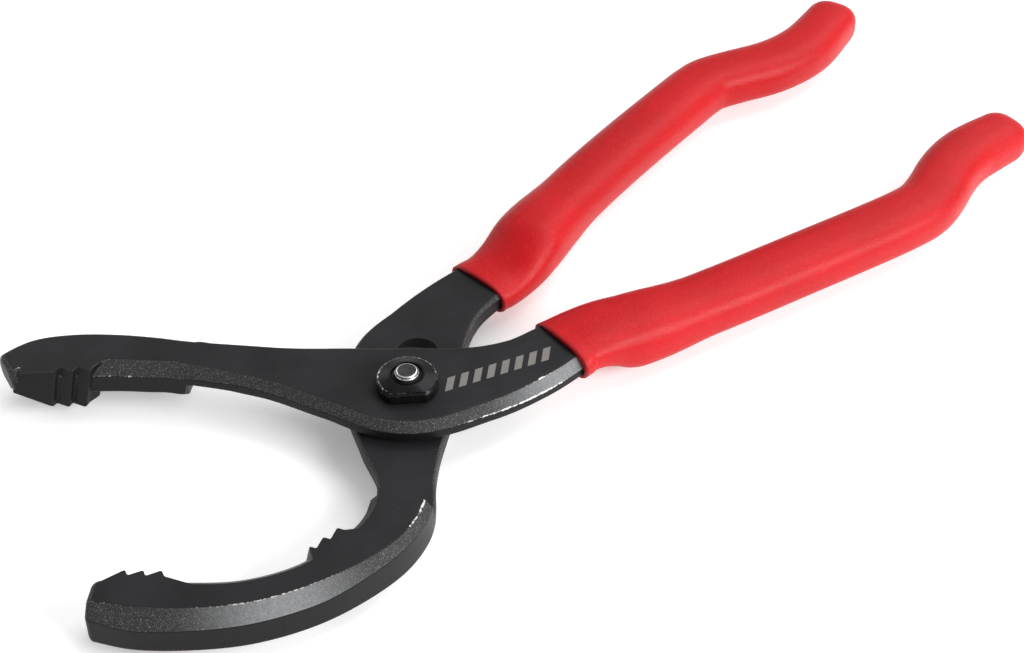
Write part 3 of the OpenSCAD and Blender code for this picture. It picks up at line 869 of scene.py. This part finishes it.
def forged_grain_group():
    """The skin of a shot-blasted forging: fine and coarse lumps, painted glints, which are spots round
    cell centres where the fine noise is high, and a slow cloud."""
    group, inside, outside = new_group(
        "forged_grain", [("Vector", "Vector", None), ("Scale", "Float", 1800.0)],
        [("Height", "Float"), ("Speckle", "Float"), ("Cloud", "Float")])
    vector = inside.outputs["Vector"]
    scale = inside.outputs["Scale"]
    fine = noise(group, vector, scale, 3.0, 0.6)
    coarse = noise(group, vector, times(group, scale, 0.28), 2.0, 0.5)
    height = plus(group, times(group, fine, 0.6), times(group, coarse, 0.4))
    cells = node(group, "ShaderNodeTexVoronoi", {"feature": "F1"}, Vector=vector, Scale=scale)
    # Painted glints: bright spots round cell centres where the fine noise is high, standing in for
    # light caught by the grain
    spots = between(group, cells.outputs["Distance"], 0.50, 0.10)
    painted_glint = times(group, spots, between(group, fine, 0.40, 0.60))
    cloud = noise(group, vector, 70.0, 3.0, 0.5)
    wire(group, outside, Height=height, Speckle=painted_glint, Cloud=cloud)
    return group


def ground_lines_group():
    """Faint straight grinding lines: noise stretched along one direction of the tool."""
    group, inside, outside = new_group(
        "ground_lines", [("Vector", "Vector", None), ("Turn", "Float", 0.0)], [("Height", "Float")])
    turned_frame = node(group, "ShaderNodeVectorRotate", {"rotation_type": "Z_AXIS"},
                        Vector=inside.outputs["Vector"], Angle=inside.outputs["Turn"])
    stretched = node(group, "ShaderNodeVectorMath", {"operation": "MULTIPLY"},
                     i0=turned_frame.outputs[0], i1=(60.0, 2600.0, 200.0))
    lines = noise(group, stretched.outputs[0], 1.0, 2.0, 0.6)
    wire(group, outside, Height=lines)
    return group


def vinyl_grain_group():
    """Dipped vinyl: a fine matte pebble with slow swells under it, and pale specks."""
    group, inside, outside = new_group(
        "vinyl_grain", [("Vector", "Vector", None), ("Scale", "Float", 2600.0)],
        [("Height", "Float"), ("Swell", "Float"), ("Speck", "Float")])
    vector = inside.outputs["Vector"]
    fine = noise(group, vector, inside.outputs["Scale"], 2.0, 0.6)
    swell = noise(group, vector, 45.0, 2.0, 0.5)
    speck = between(group, noise(group, vector, 900.0, 2.0, 0.6), 0.5, 0.72)
    wire(group, outside, Height=fine, Swell=swell, Speck=speck)
    return group


def etched_bars_group():
    """A row of slanted bars: one where the share of the pitch is under the duty, inside the length
    and the height of the row and not on the underside, and zero elsewhere."""
    group, inside, outside = new_group(
        "etched_bars",
        [("Vector", "Vector", None), ("Pitch", "Float", 0.004), ("Duty", "Float", 0.55),
         ("Slant", "Float", 0.45), ("Length", "Float", 0.03), ("Height", "Float", 0.004)],
        [("Mask", "Float")])
    parts = node(group, "ShaderNodeSeparateXYZ", None, Vector=inside.outputs["Vector"])
    x, y, z = parts.outputs
    leaned = sums(group, "SUBTRACT", x, times(group, y, inside.outputs["Slant"]))
    share = sums(group, "FRACT", sums(group, "DIVIDE", leaned, inside.outputs["Pitch"]))
    half = times(group, inside.outputs["Height"], 0.5)
    mask = sums(group, "LESS_THAN", share, inside.outputs["Duty"])
    begin = sums(group, "GREATER_THAN", leaned, 0.0)
    end = sums(group, "LESS_THAN", leaned, inside.outputs["Length"])
    band = sums(group, "LESS_THAN", sums(group, "ABSOLUTE", y), half)
    top = sums(group, "GREATER_THAN", z, -0.0002)
    for part in (begin, end, band, top):
        mask = times(group, mask, part)
    wire(group, outside, Mask=mask)
    return group


GROUPS = {g.name: g for g in (worn_edge_group(), forged_grain_group(), ground_lines_group(),
                              vinyl_grain_group(), etched_bars_group())}


def use(tree, name, **wires):
    """One of the groups, placed in a material with its own values."""
    return node(tree, "ShaderNodeGroup", {"node_tree": GROUPS[name]}, **wires)


def new_material(name, **constants):
    """A material with one Principled BSDF whose constant sockets are set here, and the socket of
    its Object coordinates."""
    made = bpy.data.materials.new(name)
    made.use_nodes = True
    tree = made.node_tree
    bsdf = tree.nodes["Principled BSDF"]
    wire(tree, bsdf, **constants)
    return made, tree, bsdf, tree.nodes.new("ShaderNodeTexCoord").outputs["Object"]


def mark_of(tree, name):
    """A mark kept on the mesh."""
    return node(tree, "ShaderNodeAttribute", {"attribute_name": name}).outputs["Fac"]


def bumped(tree, bsdf, height, strength, distance):
    """Small relief from a height."""
    bump = node(tree, "ShaderNodeBump", None, Height=height, Strength=strength, Distance=distance)
    wire(tree, bsdf, Normal=bump.outputs[0])


# -------------------- finishes
FLAT_TONES = (0.013, 0.013, 0.0145, 1), (0.019, 0.019, 0.021, 1)
# Forged slope tone, and the brighter tone of its painted glints
SLOPE_AND_GLINT_TONES = (0.030, 0.030, 0.031, 1), (0.17, 0.17, 0.17, 1)
# Painted shade: the side walls get a darker tone than the flats
PAINTED_WALL_SHADE = (0.007, 0.007, 0.008, 1)
# Painted highlight tone for the slopes round one spot
PAINTED_HIGHLIGHT_TONE = (0.26, 0.265, 0.27, 1)
ETCHED_TONE = (0.18, 0.17, 0.16, 1)
WORN_TONE = (0.62, 0.61, 0.58, 1)
VINYL_TONES = (0.385, 0.0, 0.002, 1), (0.44, 0.0, 0.003, 1)
VINYL_SPECK = (0.58, 0.006, 0.012, 1)
# Painted shade: darker red where the sleeve's lip meets the steel
VINYL_LIP_SHADE = (0.14, 0.002, 0.004, 1)
BRIGHT_STEEL = (0.75, 0.74, 0.72, 1)
BOLT_TONE = (0.05, 0.05, 0.052, 1)
NUT_TONE = (0.012, 0.012, 0.013, 1)
WASHER_TONE = (0.30, 0.30, 0.30, 1)

# Where a highlight is painted on the slopes, how far it reaches, and the etched row, all in metres
HIGHLIGHT_REACH = 0.026
UPPER_HIGHLIGHT_SPOT = (0.031, -0.025, 0.014)
LOWER_HIGHLIGHT_SPOT = (-0.067, -0.034, 0.014)
ROW_START = (0.0072, -0.0062, UPPER_HIGH * SCALE)
ROW_TURN = math.radians(-19.5)
ROW_SIZE = {"Pitch": 0.0037, "Duty": 0.55, "Slant": 0.6, "Length": 0.0293, "Height": 0.0042}


def etched_row(tree, place_at):
    """The mask of the etched bars, in a frame that starts at ROW_START and is turned by ROW_TURN."""
    moved = node(tree, "ShaderNodeMapping", {"vector_type": "TEXTURE"}, Vector=place_at,
                 Location=ROW_START, Rotation=(0, 0, ROW_TURN))
    return use(tree, "etched_bars", Vector=moved.outputs[0], **ROW_SIZE).outputs["Mask"]


def black_forged_steel(name, turn, highlight_spot, etched=False):
    """Black oxide: ground flats, blasted forged slopes, walls darkened by painted shade, and bright
    worn edges. The slopes get a painted highlight, paler round one spot and within a set reach of it."""
    made, tree, bsdf, place_at = new_material(name, Specular_IOR_Level=0.17)
    grain = use(tree, "forged_grain", Vector=place_at, Scale=3000.0)
    slope = between(tree, mark_of(tree, "forged"), 0.35, 0.65)
    wall = between(tree, mark_of(tree, "wall"), 0.35, 0.65)
    flat_tone = mix(tree, between(tree, grain.outputs["Cloud"], 0.3, 0.7), *FLAT_TONES)
    # Painted glints: bright specks in the slope colour stand in for light caught by the blasted grain
    slope_tone = mix(tree, grain.outputs["Speckle"], *SLOPE_AND_GLINT_TONES)
    # Painted highlight: the slopes turn paler round one spot, standing in for light reflected there
    away = node(tree, "ShaderNodeVectorMath", {"operation": "DISTANCE"}, i0=place_at, i1=highlight_spot)
    wear_and_highlight = between(tree, away.outputs["Value"], HIGHLIGHT_REACH, 0.0)
    gleam = times(tree, wear_and_highlight, plus(tree, grain.outputs["Height"], 0.15))
    slope_tone = mix(tree, gleam, slope_tone, PAINTED_HIGHLIGHT_TONE)
    # Side walls take the darker painted-shade tone, slopes their own tone
    colour = mix(tree, slope, mix(tree, wall, flat_tone, PAINTED_WALL_SHADE), slope_tone)
    if etched:
        colour = mix(tree, etched_row(tree, place_at), colour, ETCHED_TONE)
    worn = use(tree, "worn_edge", Vector=place_at, Edge=mark_of(tree, "edge"), Amount=0.52,
               Breakup=1300.0).outputs["Mask"]
    lines = use(tree, "ground_lines", Vector=place_at, Turn=turn).outputs["Height"]
    faint_lines = times(tree, lines, 0.12)
    rough = plus(tree, plus(tree, 0.40, faint_lines), times(tree, slope, 0.06))
    metal = plus(tree, 0.1, times(tree, worn, 0.8))
    wire(tree, bsdf, Base_Color=mix(tree, worn, colour, WORN_TONE), Roughness=rough, Metallic=metal)
    height = plus(tree, times(tree, grain.outputs["Height"], slope), faint_lines)
    bumped(tree, bsdf, height, 0.8, 0.0003)
    return made


def red_dipped_vinyl():
    """Matte red vinyl with a fine pebble, pale specks, and painted shade darkening the lip where the
    sleeve meets the steel.
    """
    made, tree, bsdf, place_at = new_material("red_dipped_vinyl", Specular_IOR_Level=0.25)
    grain = use(tree, "vinyl_grain", Vector=place_at, Scale=2200.0)
    pebble = grain.outputs["Height"]
    base = mix(tree, between(tree, grain.outputs["Swell"], 0.3, 0.7), *VINYL_TONES)
    base = mix(tree, times(tree, grain.outputs["Speck"], 0.35), base, VINYL_SPECK)
    # Painted shade at the lip: darker red where the sleeve meets the steel
    lip = between(tree, mark_of(tree, "lip"), 0.7, 1.0)
    base = mix(tree, times(tree, lip, 0.5), base, VINYL_LIP_SHADE)
    rough = plus(tree, 0.34, times(tree, pebble, 0.18))
    wire(tree, bsdf, Base_Color=base, Roughness=rough)
    bumped(tree, bsdf, pebble, 0.6, 0.00022)
    return made


def turned_steel(name, tone, roughness, amount):
    """Turned steel in a dark or a bare tone, with circular tool marks and bright worn edges."""
    made, tree, bsdf, place_at = new_material(name, Specular_IOR_Level=0.2)
    rings = node(tree, "ShaderNodeTexWave", {"wave_type": "RINGS", "rings_direction": "Z"},
                 Vector=place_at, Scale=900.0, Distortion=1.5, Detail=2.0)
    cloud = noise(tree, place_at, 320.0, 3.0, 0.6)
    paler = (*(c * 1.5 for c in tone[:3]), 1)
    colour = mix(tree, between(tree, cloud, 0.3, 0.7), tone, paler)
    worn = use(tree, "worn_edge", Vector=place_at, Edge=mark_of(tree, "edge"), Amount=amount,
               Breakup=900.0).outputs["Mask"]
    rough = plus(tree, roughness, times(tree, cloud, 0.12))
    metal = plus(tree, 0.7, times(tree, worn, 0.3))
    wire(tree, bsdf, Base_Color=mix(tree, worn, colour, BRIGHT_STEEL), Roughness=rough, Metallic=metal)
    bumped(tree, bsdf, rings.outputs["Fac"], 0.05, 0.0002)
    return made


# -------------------- pieces
LEVER_SHARP = 32
GRIP_SHARP = 60
TURNED_SHARP = 35


def finish_piece(mesh, material, body, replaced, angle):
    """Shades the mesh, gives it its material and puts it on its body in place of its node."""
    shade_by_angle(mesh, angle)
    mesh.materials.clear()
    mesh.materials.append(material)
    piece = add_object(mesh)
    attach(piece, body)
    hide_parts(replaced)
    return piece


upper_steel = black_forged_steel("black_forged_steel_upper", math.radians(25), UPPER_HIGHLIGHT_SPOT, True)
finish_piece(forged_upper_lever(), upper_steel,
             "upper_half", "upper_lever", LEVER_SHARP)
lower_steel = black_forged_steel("black_forged_steel_lower", math.radians(-20), LOWER_HIGHLIGHT_SPOT)
finish_piece(forged_lower_lever(), lower_steel,
             "lower_half", "lower_lever", LEVER_SHARP)

vinyl = red_dipped_vinyl()
upper_first = (len(UPPER_JAW) + len(UPPER_BOSS) - 1) * STEPS
lower_first = (len(LOWER_JAW) + len(LOWER_BOSS) - 1) * STEPS
finish_piece(grip_mesh("dipped_upper_grip", upper_line, upper_first, upper_levels, UPPER_REACH), vinyl,
             "upper_half", "upper_grip", GRIP_SHARP)
finish_piece(grip_mesh("dipped_lower_grip", lower_line, lower_first, lower_levels, LOWER_REACH), vinyl,
             "lower_half", "lower_grip", GRIP_SHARP)

finish_piece(turned_bolt(), turned_steel("black_bolt_steel", BOLT_TONE, 0.30, 0.75),
             "upper_half", "pivot_bolt", TURNED_SHARP)
finish_piece(turned_nut(), turned_steel("black_nut_steel", NUT_TONE, 0.24, 0.36),
             "upper_half", "pivot_nut", TURNED_SHARP)
finish_piece(turned_washer(), turned_steel("washer_steel", WASHER_TONE, 0.28, 0.5),
             "slip_carriage", "thrust_washer", TURNED_SHARP)


# -------------------- stage, camera, light
FLOOR_SPAN = 6.0
FLOOR_DEPTH = -0.0004
FLOOR_TONES = (0.95, 0.95, 0.95, 1), (0.97, 0.97, 0.97, 1)

# Plan directions as the camera sees them, and the middle of the tool
RIGHT = Vector((0.7242, -0.6896, 0))
AWAY = Vector((0.6896, 0.7242, 0))
UP = Vector((0, 0, 1))
CENTRE = Vector((0.05, 0.0, 0.0))
CAMERA_PLACE = Vector((-0.22578, -0.27420, 0.35420))
CAMERA_LOOK = Vector((0.5125, 0.5381, -0.6691))


def pale_floor():
    """A plain pale floor far wider than the tool."""
    s = FLOOR_SPAN
    corners = [(-s, -s, FLOOR_DEPTH), (s, -s, FLOOR_DEPTH), (s, s, FLOOR_DEPTH), (-s, s, FLOOR_DEPTH)]
    mesh = bpy.data.meshes.new("pale_floor")
    mesh.from_pydata(corners, [], [(0, 1, 2, 3)])
    made, tree, bsdf, place_at = new_material("pale_floor", Roughness=0.75,
                                              Emission_Color=(1, 1, 1, 1), Emission_Strength=0.2)
    wire(tree, bsdf, Base_Color=mix(tree, noise(tree, place_at, 3.0), *FLOOR_TONES))
    mesh.materials.append(made)
    add_object(mesh)


def aim(obj, position, right, forward):
    """Turns an object so that its X axis is right and it looks along forward."""
    forward = forward.normalized()
    right = right.normalized()
    up = right.cross(forward).normalized()
    turn = Matrix((right, up, -forward)).transposed().to_4x4()
    obj.matrix_world = Matrix.Translation(position) @ turn


def soft_light(name, right, away, up, size, power, shape=1.0):
    """A soft rectangular light that stands off from the middle of the tool and looks at it."""
    light = bpy.data.lights.new(name, "AREA")
    light.shape = "RECTANGLE"
    light.size = size
    light.size_y = size * shape
    light.energy = power
    position = CENTRE + RIGHT * right + AWAY * away + UP * up
    forward = CENTRE - position
    aim(add_object(light), position, forward.cross(UP), forward)


pale_floor()
soft_light("key_softbox", right=0.85, away=-0.55, up=0.6, size=0.7, power=16.0, shape=0.7)
soft_light("top_softbox", right=0.6, away=0.5, up=1.1, size=1.1, power=11.0)
soft_light("rim_strip", right=-0.7, away=0.6, up=0.5, size=0.8, power=1.5, shape=0.3)

camera = add_object(bpy.data.cameras.new("camera"))
camera.data.lens = 70.31
camera.data.sensor_width = 36.0
camera.data.sensor_fit = "HORIZONTAL"
camera.data.clip_start = 0.01
aim(camera, CAMERA_PLACE, RIGHT, CAMERA_LOOK)
bpy.context.scene.camera = camera

world = bpy.data.worlds.new("studio")
bpy.context.scene.world = world
world.use_nodes = True
backdrop = world.node_tree.nodes["Background"]
backdrop.inputs["Color"].default_value = (1, 1, 1, 1)
backdrop.inputs["Strength"].default_value = 0.42
bpy.context.scene.view_settings.view_transform = "Standard"

bpy.context.view_layer.update()
